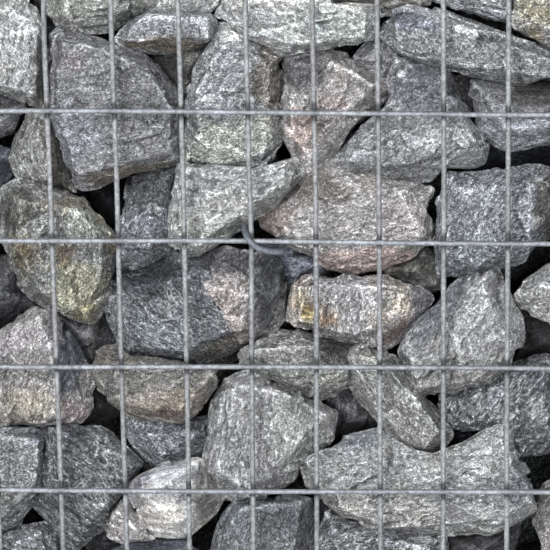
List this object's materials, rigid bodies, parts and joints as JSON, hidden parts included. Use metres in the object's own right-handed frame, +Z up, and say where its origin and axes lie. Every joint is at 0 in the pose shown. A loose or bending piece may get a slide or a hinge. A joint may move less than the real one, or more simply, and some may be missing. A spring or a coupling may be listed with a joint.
{
  "type": "welded mesh gabion wall",
  "caption": "Free-standing stone wall of welded wire baskets filled with broken rock, with lids, a dividing panel, hooked cross ties and clip rings.",
  "frame": {"origin": "under the middle of the wall, at the level that it stands on", "axes": "+X along the wall, +Z up, the front faces -Y"},
  "size_m": [2.031, 0.5338, 1.0252],
  "materials": {
    "mesh_wire": "matte galvanised",
    "tie_wire": "dull dark galvanised",
    "clip_wire": "matte galvanised",
    "stone": "rough broken rock"
  },
  "bodies": {
    "root": {"front_panel_1": "mesh_wire", "back_panel_1": "mesh_wire", "lid_1": "mesh_wire", "base_panel_1": "mesh_wire", "stone_fill_1": "stone", "cross_tie_1_1": "tie_wire", "cross_tie_1_2": "tie_wire", "cross_tie_1_3": "tie_wire", "cross_tie_1_4": "tie_wire", "lid_clips_front_1": "clip_wire", "base_clips_front_1": "clip_wire", "lid_clips_back_1": "clip_wire", "base_clips_back_1": "clip_wire", "front_panel_2": "mesh_wire", "back_panel_2": "mesh_wire", "lid_2": "mesh_wire", "base_panel_2": "mesh_wire", "stone_fill_2": "stone", "cross_tie_2_1": "tie_wire", "cross_tie_2_2": "tie_wire", "cross_tie_2_3": "tie_wire", "cross_tie_2_4": "tie_wire", "lid_clips_front_2": "clip_wire", "base_clips_front_2": "clip_wire", "lid_clips_back_2": "clip_wire", "base_clips_back_2": "clip_wire", "end_panel_left": "mesh_wire", "end_panel_right": "mesh_wire", "diaphragm_1": "mesh_wire", "corner_clips_front_left": "clip_wire", "corner_clips_front_right": "clip_wire", "seam_clips_front_1": "clip_wire", "corner_clips_back_left": "clip_wire", "corner_clips_back_right": "clip_wire", "seam_clips_back_1": "clip_wire", "lid_end_clips_left": "clip_wire", "lid_end_clips_right": "clip_wire", "lid_seam_clips_1": "clip_wire"}
  },
  "joints": []
}
